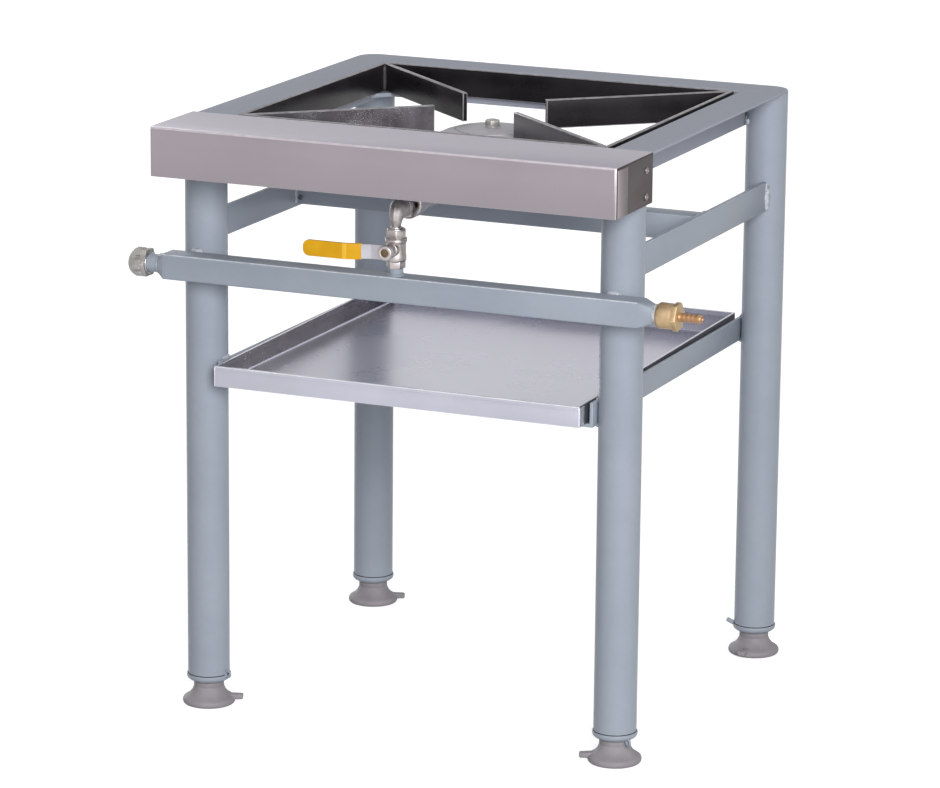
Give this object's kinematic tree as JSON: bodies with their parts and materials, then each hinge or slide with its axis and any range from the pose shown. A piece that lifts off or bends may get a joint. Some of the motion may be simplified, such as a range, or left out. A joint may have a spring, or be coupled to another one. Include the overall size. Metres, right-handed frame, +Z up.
{
  "type": "single burner boiling table",
  "caption": "Free-standing gas boiling table on round legs with a lift-out pot trivet, one burner, lever gas valve on a square manifold and a slide-out drip tray.",
  "frame": {"origin": "on the floor, midway between the four legs", "axes": "+X to the right as the cook faces the fascia, +Y towards the back, +Z up"},
  "size_m": [0.712, 0.5925, 0.7142],
  "materials": {
    "frame_paint": "blue-grey hammered paint",
    "foot_rubber": "matt grey rubber",
    "zinc_steel": "bright zinc plate",
    "trivet_black": "satin black stove paint",
    "stainless": "satin stainless sheet",
    "galvanised": "bright galvanised",
    "brass": "turned brass",
    "white_tape": "white PTFE",
    "nickel": "dull nickel plate",
    "yellow_vinyl": "dipped yellow vinyl",
    "cast_grey": "light grey casting"
  },
  "bodies": {
    "frame": {"leg_front_left": "frame_paint", "leg_front_right": "frame_paint", "leg_back_left": "frame_paint", "leg_back_right": "frame_paint", "leg_cap_front_left": "frame_paint", "leg_cap_front_right": "frame_paint", "leg_cap_back_left": "frame_paint", "leg_cap_back_right": "frame_paint", "top_rail_left": "frame_paint", "top_rail_right": "frame_paint", "top_rail_front": "frame_paint", "top_rail_back": "frame_paint", "trivet_lugs": "frame_paint", "side_bar_left": "frame_paint", "side_bar_right": "frame_paint", "burner_crossbar": "frame_paint", "tray_runner_left": "frame_paint", "tray_runner_right": "frame_paint", "gas_manifold": "frame_paint", "manifold_nipples": "frame_paint", "valve_nipple": "frame_paint", "burner_bolt": "zinc_steel", "burner_nut": "zinc_steel", "fascia": "stainless", "fascia_rivets": "stainless", "manifold_end_cap": "galvanised", "hose_connector": "brass", "injector": "brass", "thread_tape": "white_tape", "valve_seats": "white_tape", "valve_body": "nickel", "valve_insert": "nickel", "gland_nut": "nickel", "elbow": "cast_grey", "mixing_tube": "cast_grey", "burner_bowl": "cast_grey", "burner_cap": "cast_grey"},
    "lever": {"valve_lever": "nickel", "lever_sleeve": "yellow_vinyl", "lever_nut": "nickel", "valve_stem": "brass", "valve_ball": "stainless"},
    "tray": {"drip_tray": "galvanised"},
    "trivet": {"trivet_ring_sides": "trivet_black", "trivet_ring_ends": "trivet_black", "trivet_spokes": "trivet_black"},
    "shutter": {"air_shutter": "zinc_steel"},
    "cup_front_left": {"foot_front_left": "foot_rubber", "foot_stud_front_left": "zinc_steel"},
    "cup_front_right": {"foot_front_right": "foot_rubber", "foot_stud_front_right": "zinc_steel"},
    "cup_back_left": {"foot_back_left": "foot_rubber", "foot_stud_back_left": "zinc_steel"},
    "cup_back_right": {"foot_back_right": "foot_rubber", "foot_stud_back_right": "zinc_steel"}
  },
  "joints": [
    {"name": "lever_turn", "type": "hinge", "parent": "frame", "child": "lever", "pos_m": [0, -0.302, 0.5885], "axis": [0, -1, 0], "range_deg": [0, 90]},
    {"name": "tray_slide", "type": "slide", "parent": "frame", "child": "tray", "axis": [0, -1, 0], "range_m": [0, 0.4]},
    {"name": "trivet_lift", "type": "slide", "parent": "frame", "child": "trivet", "axis": [0, 0, 1], "range_m": [0, 0.085]},
    {"name": "shutter_turn", "type": "hinge", "parent": "frame", "child": "shutter", "pos_m": [0, -0.24375, 0.634], "axis": [0, 1, 0], "range_deg": [0, 45]},
    {"name": "cup_turn_front_left", "type": "hinge", "parent": "frame", "child": "cup_front_left", "pos_m": [-0.262, -0.235, 0.0142], "axis": [0, 0, 1], "continuous": true},
    {"name": "cup_turn_front_right", "type": "hinge", "parent": "frame", "child": "cup_front_right", "pos_m": [0.262, -0.235, 0.0142], "axis": [0, 0, 1], "continuous": true},
    {"name": "cup_turn_back_left", "type": "hinge", "parent": "frame", "child": "cup_back_left", "pos_m": [-0.262, 0.235, 0.0142], "axis": [0, 0, 1], "continuous": true},
    {"name": "cup_turn_back_right", "type": "hinge", "parent": "frame", "child": "cup_back_right", "pos_m": [0.262, 0.235, 0.0142], "axis": [0, 0, 1], "continuous": true}
  ]
}
